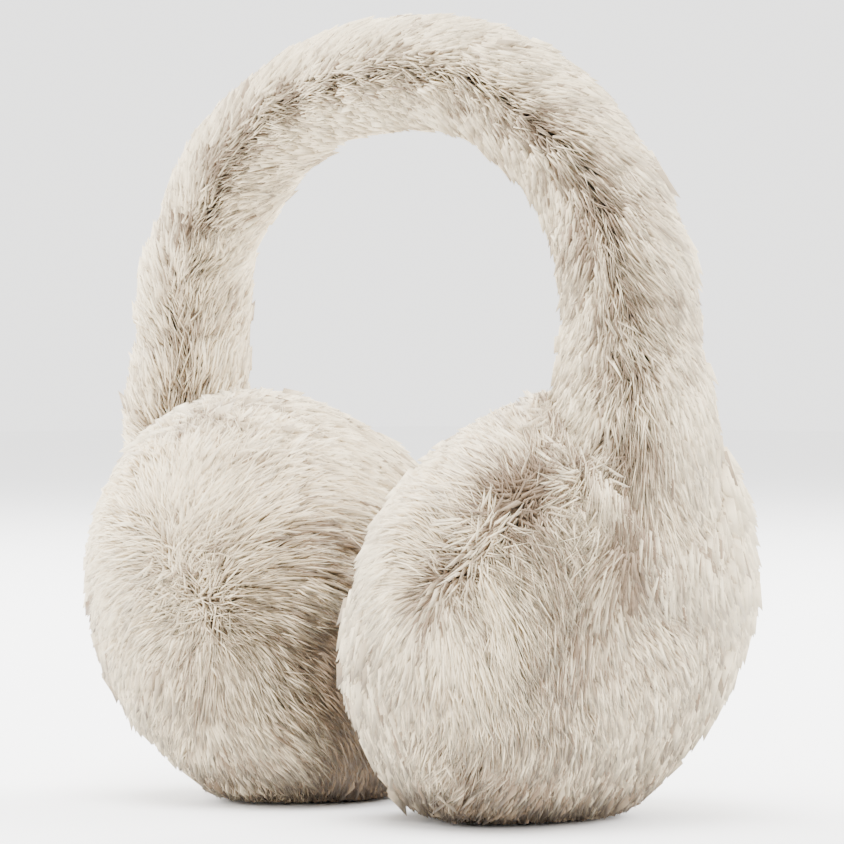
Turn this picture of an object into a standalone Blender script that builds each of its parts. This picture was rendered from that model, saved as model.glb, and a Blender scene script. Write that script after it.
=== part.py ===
"""Fur earmuffs: two deep-fur ear cups on a fur-covered headband, standing on the cups.

Metres, +Z up. The origin is on the ground under the middle of the arch, +X runs to the
right-hand cup and -Y to the front. Each piece is one closed body: a rounded core whose
skin rises into rows of pointed locks of fur, every row lying over the roots of the next.
"""

import math

import bmesh
import bpy
import numpy as np

# Ear cups: soft round drums of fur whose tops lean outwards.
CUP_THICK = 0.0890  # from the ear side to the outer side
CUP_ACROSS = 0.1240  # front to back
CUP_TALL = 0.1280  # along the cup's own upright axis
CUP_ROUNDNESS = 2.15  # exponent of the cup's profile: 2 is an ellipse, more is squarer
RIGHT_CUP_OUT = 0.0575  # centre of the right cup from the middle
LEFT_CUP_OUT = 0.0470  # the left cup is pressed in a little further
RIGHT_CUP_LEAN = math.radians(23.7)
LEFT_CUP_LEAN = math.radians(26.0)
FLOOR_PRESS = 0.0065  # depth of fur pressed flat under each cup

# Headband: a tube of fur along an arch, with a leg at each end that bows out into its cup.
ARCH_HALF_WIDTH = 0.0874  # middle to the centreline at the springing
ARCH_RISE = 0.0737  # springing to the centreline's highest point
ARCH_ROUNDNESS = 2.08  # exponent of the arch: 2 is an ellipse, more has fuller shoulders
ARCH_OVER_CUPS = 0.0150  # springing above the cups' tops
BAND_THICK = 0.0316  # across the tube in the plane of the arch
BAND_WIDE = 0.0340  # across the tube front to back
LEG_BOW = 0.0140  # pull of the leg outwards on its way to the cup
SEAT_INSET = 0.0130  # the leg's end lies this far inside the springing
SEAT_BELOW_TOP = 0.0430  # the leg's end below its cup's top
SEAT_DEPTH = 0.0080  # full-width stretch at the leg's end, held by the cup
FIT_GAP = 0.0003  # clearance round a leg in its cup

# Locks of fur: how far they stand over the core, how many lie side by side, and the rows.
CUP_LOCK_RISE = 0.0048
CUP_LOCKS_ROUND = 24
CUP_LOCK_ROWS = 9
BAND_LOCK_RISE = 0.0036
BAND_LOCKS_ROUND = 8
BAND_LOCK_STEP = 0.0195  # along the band from row to row

LONGER = (0.92, 1.08)  # a lock's length as a share of its row's
FULLER = (0.80, 1.00)  # a lock's height as a share of the rise
ASIDE = 0.06  # a tip's random place sideways, as a share of a lock's width
BAND_FAN = 0.16  # how far the band's tips lean from its parting, as a share of a lock's width
SEAT_CLEAR = 0.0016  # plain stretch between the seat and the first and last row

# The hollow in a cup that takes the leg.
SOCKET_REACH = 0.0760  # from the seat up to well above the cup's top
SOCKET_RINGS = 10
SOCKET_SIDES = 16

FUR_COLOUR = (0.66, 0.58, 0.48, 1.0)
FUR_ROUGHNESS = 0.9

# A row of locks, ring by ring from the roots to the tips.
LOCK_RINGS = (
    # ridge: along, height; valley: along, height; shares of the row's step and of the rise
    (0.00, 0.08, 0.00, 0.00),
    (0.46, 0.68, 0.36, 0.06),
    (0.90, 1.00, 0.66, 0.08),
    (1.28, 0.84, 0.86, 0.03),
)

# How full the band is from its left end to its right end.
BAND_FULLNESS = (
    # share of the band's length, thickness as a share of BAND_THICK and BAND_WIDE
    (0.00, 1.00),
    (0.10, 1.08),
    (0.24, 0.97),
    (0.50, 1.00),
    (0.76, 1.07),
    (0.90, 1.24),
    (1.00, 1.06),
)

# Where the fur parts along the band: 0 faces away from the arch's middle, 90 faces the front.
BAND_PARTING = (
    # share of the band's length, degrees round the tube
    (0.00, 122.0),
    (0.50, 109.0),
    (1.00, 62.0),
)

# Each cup's fur spreads from a crown, given by its direction from the cup's own centre.
CUPS = (
    # name, centre along X, lean towards +X, crown direction in the cup's own axes, swirl
    ("right_ear_cup", RIGHT_CUP_OUT, RIGHT_CUP_LEAN, (0.58, -0.29, 0.76), 0.25),
    ("left_ear_cup", -LEFT_CUP_OUT, -LEFT_CUP_LEAN, (0.40, -0.91, -0.02), -0.20),
)


def clear_scene():
    for thing in list(bpy.data.objects):
        bpy.data.objects.remove(thing, do_unlink=True)


def unit(vectors):
    return vectors / np.linalg.norm(vectors, axis=-1, keepdims=True)


def fur_material(name):
    material = bpy.data.materials.new(name)
    material.use_nodes = True
    shader = material.node_tree.nodes["Principled BSDF"]
    shader.inputs["Base Color"].default_value = FUR_COLOUR
    shader.inputs["Roughness"].default_value = FUR_ROUGHNESS
    shader.inputs["Metallic"].default_value = 0.0
    material.diffuse_color = FUR_COLOUR
    return material


def mesh_object(name, points, faces, helper=False):
    """An object of these points and faces, in triangles; a helper only cuts other objects."""
    mesh = bpy.data.meshes.new(name)
    mesh.from_pydata([tuple(point) for point in points], [], [tuple(face) for face in faces])
    work = bmesh.new()
    work.from_mesh(mesh)
    bmesh.ops.triangulate(work, faces=work.faces, quad_method="SHORT_EDGE")
    bmesh.ops.recalc_face_normals(work, faces=work.faces)
    work.to_mesh(mesh)
    work.free()
    thing = bpy.data.objects.new(name, mesh)
    bpy.context.scene.collection.objects.link(thing)
    if helper:
        thing.hide_render = True
        thing.display_type = "WIRE"
    return thing


def cut(thing, cutters):
    """Takes the cutters out of the thing and keeps its one main body.

    A cut can set the tip of a lock free: of the bodies whose faces meet along edges, the one
    with the largest volume is the piece.
    """
    for cutter in cutters:
        modifier = thing.modifiers.new(cutter.name, "BOOLEAN")
        modifier.operation = "DIFFERENCE"
        modifier.solver = "EXACT"
        modifier.object = cutter
    bpy.context.view_layer.update()
    graph = bpy.context.evaluated_depsgraph_get()
    mesh = bpy.data.meshes.new_from_object(thing.evaluated_get(graph))
    work = bmesh.new()
    work.from_mesh(mesh)
    bmesh.ops.triangulate(work, faces=work.faces)
    waiting = set(work.faces)
    bodies = []
    while waiting:
        front = [waiting.pop()]
        body = set(front)
        while front:
            near = {face for edge in front.pop().edges for face in edge.link_faces} & waiting
            waiting -= near
            body |= near
            front.extend(near)
        bodies.append(body)
    piece = max(bodies, key=body_volume)
    bmesh.ops.delete(work, geom=list(set(work.faces) - piece), context="FACES")
    work.to_mesh(mesh)
    work.free()
    thing.modifiers.clear()
    thing.data = mesh


def body_volume(faces):
    """Six times the volume that these triangles close."""
    corners = np.array([[vert.co[:] for vert in face.verts] for face in faces])
    return float(np.linalg.det(corners).sum())


def ring_faces(rings, sides):
    """Quads between rings of corners, and the two lists of corners that the ends leave open."""
    faces = []
    for ring in range(rings - 1):
        for side in range(sides):
            a = ring * sides + side
            b = ring * sides + (side + 1) % sides
            faces.append((a, b, b + sides, a + sides))
    return faces, list(range(sides)), list(range((rings - 1) * sides, rings * sides))


# Locks


def lock_rows(starts, step, locks_round, skew, chance):
    """Places of the corners of rows of locks, as arrays (ring, corner) along, round and high.

    Round a ring the corners are by turns a lock's ridge and the valley beside it, and each
    row is set half a lock round from the last, so that a tip hangs over a valley. skew
    gives, from along and round, how far a ridge leans sideways by its tip, as a share of a
    lock's width. Heights are shares of the rise, and round is an angle.
    """
    table = np.array(LOCK_RINGS)
    rows, rings, corners = len(starts), len(table), 2 * locks_round
    corner = np.arange(corners)
    is_ridge = (corner[None, :] + np.arange(rows)[:, None]) % 2 == 0
    is_ridge = np.broadcast_to(is_ridge[:, None, :], (rows, rings, corners))
    part = table[None, :, :, None]
    along = np.where(is_ridge, part[:, :, 0], part[:, :, 2])
    high = np.where(is_ridge, part[:, :, 1], part[:, :, 3])
    longer = chance.uniform(*LONGER, (rows, 1, corners))
    fuller = chance.uniform(*FULLER, (rows, 1, corners))
    aside = chance.uniform(-ASIDE, ASIDE, (rows, 1, corners))
    along = np.where(is_ridge, along * longer, along)
    high = np.where(is_ridge, high * fuller, high)
    places = starts[:, None, None] + step * along
    width = math.tau / locks_round
    turns = np.broadcast_to(corner * width / 2, places.shape)
    lean = np.where(is_ridge, skew(places, turns) + aside, 0.0) * width
    turns = turns + lean * along**2
    return tuple(part.reshape(rows * rings, corners) for part in (places, turns, high))


# Ear cups


def cup_half_sizes(inset):
    return np.array([CUP_THICK, CUP_ACROSS, CUP_TALL]) / 2 - inset


def cup_skin(directions, inset):
    """The skin along unit directions from the cup's centre, and its outward normals.

    The skin is where (thickness share) to the power n plus (distance from the axis share)
    to the power n is one, with n the cup's roundness.
    """
    half = cup_half_sizes(inset)
    shares = directions / half
    thick = np.abs(shares[..., 0])
    across = np.hypot(shares[..., 1], shares[..., 2])
    reach = (thick**CUP_ROUNDNESS + across**CUP_ROUNDNESS) ** (-1 / CUP_ROUNDNESS)
    slope = np.empty_like(directions)
    slope[..., 0] = np.sign(directions[..., 0]) * thick ** (CUP_ROUNDNESS - 1) / half[0]
    for axis in (1, 2):
        slope[..., axis] = across ** (CUP_ROUNDNESS - 2) * shares[..., axis] / half[axis]
    return directions * reach[..., None], unit(slope)


def turned(points, lean):
    """Points turned about the Y axis, so that what is above the centre moves towards +X."""
    cosine, sine = math.cos(lean), math.sin(lean)
    return points @ np.array([[cosine, 0, -sine], [0, 1, 0], [sine, 0, cosine]])


def half_height(lean):
    """How far the lowest point of a leaning cup lies below its centre."""
    turns = np.linspace(0, math.tau, 721)
    ring = np.stack([np.cos(turns), np.zeros_like(turns), np.sin(turns)], axis=-1)
    return turned(cup_skin(ring, 0.0)[0], lean)[:, 2].max()


CUP_TOP = 2 * half_height(RIGHT_CUP_LEAN) - FLOOR_PRESS


def cup_placed(points, centre, lean):
    return turned(points, lean) + np.array([centre, 0.0, half_height(lean) - FLOOR_PRESS])


def ear_cup(name, centre, lean, crown, swirl, chance):
    """Rows of locks in rings that spread from the crown and close again on the far side.

    A place in a ring is the crown's direction turned by the polar angle, then round the
    crown by the ring's own angle, which grows with the polar angle so that the rows swirl.
    """
    crown = unit(np.array(crown))
    first = unit(np.cross(crown, (0.0, 1.0, 0.0)))
    second = np.cross(crown, first)
    step = math.pi / (CUP_LOCK_ROWS + LOCK_RINGS[-1][0])
    starts = (np.arange(CUP_LOCK_ROWS) + 0.5) * step
    straight = lambda along, turn: 0.0
    polar, turns, high = lock_rows(starts, step, CUP_LOCKS_ROUND, straight, chance)
    turns = turns + swirl * polar
    directions = (
        np.cos(polar)[..., None] * crown
        + (np.sin(polar) * np.cos(turns))[..., None] * first
        + (np.sin(polar) * np.sin(turns))[..., None] * second
    )
    skin, outward = cup_skin(directions, CUP_LOCK_RISE)
    rings = skin + outward * (CUP_LOCK_RISE * high)[..., None]
    poles, _ = cup_skin(np.stack([crown, -crown]), CUP_LOCK_RISE / 2)
    points = np.concatenate([rings.reshape(-1, 3), poles])
    faces, first_ring, last_ring = ring_faces(*polar.shape)
    for pole, ring in ((len(points) - 2, first_ring), (len(points) - 1, last_ring)):
        faces += [(pole, a, b) for a, b in zip(ring, ring[1:] + ring[:1])]
    return mesh_object(name, cup_placed(points, centre, lean), faces)


# Headband


def band_centreline(count=1200):
    """The band's centreline from the left seat to the right seat, as (x, z) and shares of its length.

    A half superellipse, with a leg at each side that follows a cubic curve from the springing,
    bows outwards and turns in to its seat in the cup.
    """
    springing = CUP_TOP + ARCH_OVER_CUPS
    seat = CUP_TOP - SEAT_BELOW_TOP
    step = (springing - seat) / 3
    controls = np.array(
        [
            [ARCH_HALF_WIDTH, springing],
            [ARCH_HALF_WIDTH, springing - step],
            [ARCH_HALF_WIDTH + LEG_BOW, springing - 2 * step],
            [ARCH_HALF_WIDTH - SEAT_INSET, seat],
        ]
    )
    t = np.linspace(0, 1, count)[:, None]
    weights = np.hstack([(1 - t) ** 3, 3 * t * (1 - t) ** 2, 3 * t * t * (1 - t), t**3])
    leg = weights @ controls
    turn = np.linspace(math.pi, 0, 2 * count)
    across = np.sign(np.cos(turn)) * np.abs(np.cos(turn)) ** (2 / ARCH_ROUNDNESS)
    up = np.abs(np.sin(turn)) ** (2 / ARCH_ROUNDNESS)
    arch = np.stack([ARCH_HALF_WIDTH * across, springing + ARCH_RISE * up], axis=-1)
    line = np.concatenate([(leg * (-1, 1))[::-1], arch[1:-1], leg])
    run = np.concatenate([[0], np.cumsum(np.linalg.norm(np.diff(line, axis=0), axis=1))])
    return line, run / run[-1], run[-1]


def column(table, share):
    """The table's second column at these shares of the band's length, eased between its rows."""
    places, values = np.array(table).T
    row = np.clip(np.searchsorted(places, share, side="right") - 1, 0, len(places) - 2)
    part = np.clip((share - places[row]) / (places[row + 1] - places[row]), 0, 1)
    ease = part * part * (3 - 2 * part)
    return values[row] * (1 - ease) + values[row + 1] * ease


def band_frame(share):
    """Centre, outward direction and half sizes of the band's section at shares of its length."""
    line, run, _ = band_centreline()
    centre = np.stack([np.interp(share, run, line[:, 0]), np.interp(share, run, line[:, 1])], -1)
    tangent = unit(np.gradient(line, axis=0))
    along = unit(np.stack([np.interp(share, run, tangent[:, i]) for i in (0, 1)], -1))
    outward = np.stack([-along[..., 1], along[..., 0]], -1)
    full = column(BAND_FULLNESS, share)
    return centre, outward, full * BAND_THICK / 2, full * BAND_WIDE / 2


def band_skin(share, angle, inset):
    """The band's skin, and its outward normals, at shares of its length and angles round it.

    Centre plus (thickness times cosine) away from the arch and (width times sine) forwards.
    """
    centre, outward, thick, wide = band_frame(share)
    thick, wide = thick - inset, wide - inset
    points = np.empty(np.broadcast(share, angle).shape + (3,))
    normals = np.empty_like(points)
    points[..., 0] = centre[..., 0] + thick * np.cos(angle) * outward[..., 0]
    points[..., 1] = -wide * np.sin(angle)
    points[..., 2] = centre[..., 1] + thick * np.cos(angle) * outward[..., 1]
    normals[..., 0] = np.cos(angle) / thick * outward[..., 0]
    normals[..., 1] = -np.sin(angle) / wide
    normals[..., 2] = np.cos(angle) / thick * outward[..., 1]
    return points, unit(normals)


def headband(chance):
    """Rows of locks from the left seat to the right seat, with a plain full-width seat at each end.

    Tips lean away from the parting on both sides, most where they start beside it.
    """
    length = band_centreline()[2]
    seat = SEAT_DEPTH / length
    first = (SEAT_DEPTH + SEAT_CLEAR) / length
    rows = round((1 - 2 * first) * length / BAND_LOCK_STEP)
    step = (1 - 2 * first) / (rows + LOCK_RINGS[-1][0] - 1)
    starts = first + step * np.arange(rows)

    def skew(along, turn):
        return BAND_FAN * np.sin(turn - np.radians(column(BAND_PARTING, along)))

    places, turns, high = lock_rows(starts, step, BAND_LOCKS_ROUND, skew, chance)
    sides = places.shape[1]
    ends = np.repeat([[0.0], [seat], [1 - seat], [1.0]], sides, axis=1)
    plain = np.broadcast_to(np.arange(sides) * math.tau / sides, (2, sides))
    places = np.concatenate([ends[:2], places, ends[2:]])
    turns = np.concatenate([plain, turns, plain])
    high = np.concatenate([np.ones((2, sides)), high, np.ones((2, sides))])
    skin, outward = band_skin(places, turns, BAND_LOCK_RISE)
    points = skin + outward * (BAND_LOCK_RISE * high)[..., None]
    faces, first_ring, last_ring = ring_faces(*places.shape)
    return mesh_object("headband", points.reshape(-1, 3), faces + [first_ring, last_ring])


def socket(name, at_right):
    """The space that a leg takes in its cup, with its clearance."""
    length = band_centreline()[2]
    shares = np.linspace(-FIT_GAP, SOCKET_REACH, SOCKET_RINGS) / length
    shares = 1 - shares if at_right else shares
    angles = np.arange(SOCKET_SIDES) * math.tau / SOCKET_SIDES
    rings, _ = band_skin(shares[:, None], angles[None, :], -FIT_GAP)
    faces, first_ring, last_ring = ring_faces(SOCKET_RINGS, SOCKET_SIDES)
    return mesh_object(name, rings.reshape(-1, 3), faces + [first_ring, last_ring], True)


def floor_block(name):
    """Everything under the ground that could reach a cup."""
    wide, deep = 2 * (ARCH_HALF_WIDTH + CUP_THICK), 2 * CUP_ACROSS
    work = bmesh.new()
    bmesh.ops.create_cube(work, size=1.0)
    points = np.array([vert.co[:] for vert in work.verts]) * (wide, deep, CUP_TALL)
    faces = [[vert.index for vert in face.verts] for face in work.faces]
    work.free()
    return mesh_object(name, points - (0, 0, CUP_TALL / 2), faces, True)


def main():
    clear_scene()
    chance = np.random.default_rng(11)
    pieces = [headband(chance)]
    ground = floor_block("ground_cutter")
    for cup in CUPS:
        pieces.append(ear_cup(*cup, chance))
        cut(pieces[-1], (ground, socket(f"{cup[0]}_socket_cutter", cup[1] > 0)))
    for piece in pieces:
        piece.data.materials.append(fur_material(f"{piece.name}_fur"))


main()
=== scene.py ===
# %% [markdown]
# # Fur earmuffs
# A pair of deep-fur ear cups on a fur-covered headband, standing on the cups. Nearly all
# that shows is fur, so this lesson is about fur: how a coat of thousands of strands is laid
# on a curved backing, combed away from a parting, drawn together into locks and
# coloured from root to tip. Every strand is a real, closed piece of mesh, because then the
# coat looks right from any side and keeps its soft outline when the model is exported.

# %% Load the frame
import math
import time

import bpy
import numpy as np
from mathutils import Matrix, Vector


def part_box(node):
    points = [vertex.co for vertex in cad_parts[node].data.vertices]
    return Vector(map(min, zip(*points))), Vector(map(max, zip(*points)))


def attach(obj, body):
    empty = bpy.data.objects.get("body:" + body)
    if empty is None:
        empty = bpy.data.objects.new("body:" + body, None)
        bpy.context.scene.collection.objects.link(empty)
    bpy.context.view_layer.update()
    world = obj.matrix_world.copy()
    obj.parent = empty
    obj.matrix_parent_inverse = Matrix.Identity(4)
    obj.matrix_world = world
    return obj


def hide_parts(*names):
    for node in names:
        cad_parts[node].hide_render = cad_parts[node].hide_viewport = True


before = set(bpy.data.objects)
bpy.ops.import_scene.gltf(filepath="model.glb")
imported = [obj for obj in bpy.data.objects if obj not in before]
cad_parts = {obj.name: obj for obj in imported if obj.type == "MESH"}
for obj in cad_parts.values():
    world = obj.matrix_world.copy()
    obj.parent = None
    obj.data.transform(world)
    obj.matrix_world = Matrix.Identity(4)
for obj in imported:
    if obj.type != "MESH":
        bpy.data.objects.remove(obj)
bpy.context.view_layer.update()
began = time.time()

# %% [markdown]
# ## The camera
# The photograph looks at the earmuffs from the front right, level with the cups, through a
# long lens. A long lens is a distance and a small angle: the camera stands well back, so the
# near and far cups keep almost the same size. The lens is worked out from the focal length
# in pixels and the picture's width, and the aim is a point a little beside the middle of the
# earmuffs, which frames them as in the photograph without any lens shift.

# %% Camera
PICTURE_PX = 844
SENSOR_MM = 36.0
FOCAL_PX = 4503.0
CAMERA_AZIMUTH = math.radians(45.0)
CAMERA_ELEVATION = math.radians(0.67)
CAMERA_DISTANCE = 1.263
CAMERA_AIM = np.array([0.0052, 0.0032, 0.1080])


def add_camera():
    """Aim plus distance times (sin a cos e, -cos a cos e, sin e), for azimuth a and elevation e."""
    a, e = CAMERA_AZIMUTH, CAMERA_ELEVATION
    back = np.array([math.sin(a) * math.cos(e), -math.cos(a) * math.cos(e), math.sin(e)])
    data = bpy.data.cameras.new("camera")
    data.sensor_width = SENSOR_MM
    data.lens = FOCAL_PX * SENSOR_MM / PICTURE_PX
    data.clip_start = 0.01
    camera = bpy.data.objects.new("camera", data)
    camera.location = CAMERA_AIM + CAMERA_DISTANCE * back
    camera.rotation_euler = (math.pi / 2 - e, 0.0, a)
    bpy.context.scene.collection.objects.link(camera)
    bpy.context.scene.camera = camera
    return camera


camera = add_camera()
print("camera:", round(camera.data.lens, 1), "mm at", np.round(camera.location, 3).tolist())

# %% [markdown]
# ## Meshes from arrays
# Everything here is computed as whole numpy arrays. `foreach_set` hands an array to Blender
# in one go, which for a coat of strands is many times faster than building it point by point.

# %% A mesh from arrays
def mesh_piece(name, points, faces, uv=None):
    """A smooth-shaded object at the origin from (n, 3) points and (m, 3 or 4) faces.

    uv, where given, is one (u, v) for each point. It becomes the map named OFBake.
    """
    mesh = bpy.data.meshes.new(name)
    faces = np.asarray(faces, dtype=np.int32)
    count, sides = faces.shape
    mesh.vertices.add(len(points))
    mesh.vertices.foreach_set("co", np.ascontiguousarray(points, dtype=np.float32).ravel())
    mesh.loops.add(count * sides)
    mesh.loops.foreach_set("vertex_index", faces.ravel())
    mesh.polygons.add(count)
    mesh.polygons.foreach_set("loop_start", np.arange(count, dtype=np.int32) * sides)
    mesh.polygons.foreach_set("use_smooth", np.ones(count, dtype=bool))
    if uv is not None:
        layer = mesh.uv_layers.new(name="OFBake")
        layer.data.foreach_set("uv", uv[faces.ravel()].astype(np.float32).ravel())
    mesh.update(calc_edges=True)
    piece = bpy.data.objects.new(name, mesh)
    bpy.context.scene.collection.objects.link(piece)
    return piece


# %% [markdown]
# ## Small vectors and smooth noise
# Fur is never even: it is taller here, darker there, combed a little aside. A sum of a few
# waves in random directions is a cheap smooth noise that needs no texture, and the same seed
# always gives the same coat.

# %% Vectors and noise
def unit(vectors):
    """Each vector over its own length."""
    return vectors / np.maximum(np.linalg.norm(vectors, axis=-1, keepdims=True), 1e-12)


def eased(value, low, high):
    """0 below low, 1 above high, and 3 t^2 - 2 t^3 between them."""
    t = np.clip((value - low) / (high - low), 0.0, 1.0)
    return t * t * (3.0 - 2.0 * t)


def waves(points, size, seed, count=14):
    """Smooth noise of about -1 to 1: a sum of cosines of wave length near size, in metres."""
    source = np.random.default_rng(seed)
    ways = unit(source.normal(size=(count, 3)))
    lengths = size * source.uniform(0.7, 1.5, count)
    phases = source.uniform(0.0, math.tau, count)
    angles = points @ (ways * (math.tau / lengths)[:, None]).T + phases
    return np.cos(angles).sum(axis=-1) / math.sqrt(count)


def layered_waves(points, layers, seed):
    """Waves of several sizes added up, strength times waves for each (strength, size) layer."""
    return sum(strength * waves(points, size, seed + i) for i, (strength, size) in enumerate(layers))


# %% [markdown]
# ## The shape of an ear cup
# An ear cup is a thick round cushion. Its outline is a superellipse: the thickness share and
# the distance-from-the-axis share, each to the same power, add up to one. The power 2 would
# be an egg, and a little more gives the fuller shoulders of a padded cup. The cup leans, so
# that its top is further out than its bottom, and it is pressed flat where it stands.
# Insets are measured inwards from the tips of the fur.

# %% Ear cup skin
CUP_HALF = np.array([0.0890, 0.1240, 0.1280]) / 2
CUP_ROUNDNESS = 2.15
FLOOR_PRESS = 0.0065
CUPS = {
    "right_ear_cup": {"out": 0.0575, "lean": math.radians(23.7)},
    "left_ear_cup": {"out": -0.0470, "lean": math.radians(-26.0)},
}


def cup_skin(directions, inset):
    """Points and outward normals along unit directions from the cup's centre, in its own axes.

    The reach is (|x share|^n + |axis distance share|^n)^(-1/n), and the normal is the slope
    of that sum.
    """
    half = CUP_HALF - inset
    shares = directions / half
    thick = np.abs(shares[..., 0])
    across = np.maximum(np.hypot(shares[..., 1], shares[..., 2]), 1e-9)
    reach = (thick**CUP_ROUNDNESS + across**CUP_ROUNDNESS) ** (-1.0 / CUP_ROUNDNESS)
    slope = np.empty_like(directions)
    slope[..., 0] = np.sign(directions[..., 0]) * thick ** (CUP_ROUNDNESS - 1) / half[0]
    for axis in (1, 2):
        slope[..., axis] = across ** (CUP_ROUNDNESS - 2) * shares[..., axis] / half[axis]
    return directions * reach[..., None], unit(slope)


def turning(lean):
    """The matrix that turns row vectors about the Y axis, moving what is above towards +X."""
    cosine, sine = math.cos(lean), math.sin(lean)
    return np.array([[cosine, 0.0, -sine], [0.0, 1.0, 0.0], [sine, 0.0, cosine]])


def cup_centre(cup, count=721):
    """The cup's centre: its half height, found all round its leaning outline, less the press."""
    turns = np.linspace(0.0, math.tau, count)
    ring = np.stack([np.cos(turns), np.zeros_like(turns), np.sin(turns)], axis=-1)
    half_height = (cup_skin(ring, 0.0)[0] @ turning(cup["lean"]))[:, 2].max()
    return np.array([cup["out"], 0.0, half_height - FLOOR_PRESS])


for name, cup in CUPS.items():
    cup["centre"] = cup_centre(cup)
    cup["turn"] = turning(cup["lean"])
    low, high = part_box(name)
    print(name, "centre", np.round(cup["centre"], 4).tolist(), "CAD box", np.round([low, high], 4).tolist())

# %% [markdown]
# ## The shape of the headband
# The headband is a tube carried along an arch: a half superellipse over the head, and a leg
# at each side that bows out on its way into its cup. A point on the tube has a share of the
# band's length, from the left foot to the right foot, and an angle round it, where 0 faces
# away from the middle of the arch and 90 degrees faces the front.

# %% Headband skin
ARCH_HALF_WIDTH = 0.0874
ARCH_RISE = 0.0737
ARCH_ROUNDNESS = 2.08
ARCH_OVER_CUPS = 0.0150
BAND_HALF = (0.0316 / 2, 0.0340 / 2)
LEG_BOW = 0.0140
SEAT_INSET = 0.0130
SEAT_BELOW_TOP = 0.0430
# share of the band's length, how full the tube is there, as a share of BAND_HALF
BAND_FULLNESS = (
    (0.00, 1.00), (0.10, 1.08), (0.24, 0.97), (0.50, 1.00), (0.76, 1.07), (0.90, 1.24), (1.00, 1.06),
)
CUP_TOP = 2 * CUPS["right_ear_cup"]["centre"][2] + FLOOR_PRESS


def eased_table(table, share):
    """The table's second column at these shares, eased between its rows."""
    places, values = np.array(table).T
    row = np.clip(np.searchsorted(places, share, side="right") - 1, 0, len(places) - 2)
    ease = eased(share, places[row], places[row + 1])
    return values[row] * (1 - ease) + values[row + 1] * ease


def band_centreline(count=600):
    """(x, z) along the band, the share of its length at each point, and the length.

    Legs are cubic curves from four corners, and the arch is half width times
    cos^(2/n) across and rise times sin^(2/n) up.
    """
    springing = CUP_TOP + ARCH_OVER_CUPS
    seat = CUP_TOP - SEAT_BELOW_TOP
    step = (springing - seat) / 3
    corners = np.array([
        [ARCH_HALF_WIDTH, springing],
        [ARCH_HALF_WIDTH, springing - step],
        [ARCH_HALF_WIDTH + LEG_BOW, springing - 2 * step],
        [ARCH_HALF_WIDTH - SEAT_INSET, seat],
    ])
    t = np.linspace(0, 1, count)[:, None]
    leg = np.hstack([(1 - t) ** 3, 3 * t * (1 - t) ** 2, 3 * t * t * (1 - t), t**3]) @ corners
    turn = np.linspace(math.pi, 0, 2 * count)
    across = np.sign(np.cos(turn)) * np.abs(np.cos(turn)) ** (2 / ARCH_ROUNDNESS)
    up = np.abs(np.sin(turn)) ** (2 / ARCH_ROUNDNESS)
    arch = np.stack([ARCH_HALF_WIDTH * across, springing + ARCH_RISE * up], axis=-1)
    line = np.concatenate([(leg * (-1, 1))[::-1], arch[1:-1], leg])
    run = np.concatenate([[0], np.cumsum(np.linalg.norm(np.diff(line, axis=0), axis=1))])
    return line, run / run[-1], run[-1]


LINE, LINE_SHARE, BAND_LENGTH = band_centreline()
LINE_ALONG = unit(np.gradient(LINE, axis=0))


def band_skin(share, angle, inset):
    """Points and outward normals of the tube.

    A point is centre + thick cos(angle) outwards + wide sin(angle) to the front.
    """
    centre = np.stack([np.interp(share, LINE_SHARE, LINE[:, i]) for i in (0, 1)], -1)
    along = unit(np.stack([np.interp(share, LINE_SHARE, LINE_ALONG[:, i]) for i in (0, 1)], -1))
    full = eased_table(BAND_FULLNESS, share)
    thick = full * BAND_HALF[0] - inset
    wide = full * BAND_HALF[1] - inset
    x_out, z_out = -along[..., 1], along[..., 0]
    cosine, sine = np.cos(angle), np.sin(angle)
    points = np.stack([
        centre[..., 0] + thick * cosine * x_out,
        -wide * sine,
        centre[..., 1] + thick * cosine * z_out,
    ], -1)
    normals = np.stack([cosine / thick * x_out, -sine / wide, cosine / thick * z_out], -1)
    return points, unit(normals)


print("headband:", round(BAND_LENGTH, 4), "m long, arch top at", round(float(LINE[:, 1].max()), 4))

# %% [markdown]
# ## The hides
# Under the fur lies the backing that the pile is knitted into, pulled over the padding. It is
# a closed, slightly uneven shell as deep below the tips as the fur is. A cup's shell is a
# sphere of directions sent out to the skin, and the band's is its tube with a rounded cap at
# each foot. Little of it shows, but it stops the eye between the strands.

# %% Hide shells
CUP_FUR = 0.0078
BAND_FUR = 0.0068
FLOOR_CLEAR = 0.0004
# rings of a shell and points to a ring
CUP_GRID = (52, 88)
BAND_GRID = (150, 40)
# how high the unevenness of a hide is, and how wide
CUP_UNEVEN = 0.0006
CUP_UNEVEN_SIZE = 0.022
BAND_UNEVEN = 0.0005
BAND_UNEVEN_SIZE = 0.018
# radians from a cup's pole to its first ring
POLE_ANGLE = 0.03
# shares of the band's length: left off at each foot, and rounded off there
BAND_HIDE_END = 0.004
BAND_CAP = 0.012
SMALLEST_CAP = 0.02


def grid_faces(rows, columns):
    """Quads of a grid of rows that close on themselves, each row running round."""
    row = np.arange(rows - 1)[:, None] * columns
    column = np.arange(columns)[None, :]
    beside = (column + 1) % columns
    corners = [row + column, row + beside, row + columns + beside, row + columns + column]
    return np.stack(corners, -1).reshape(-1, 4)


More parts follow.
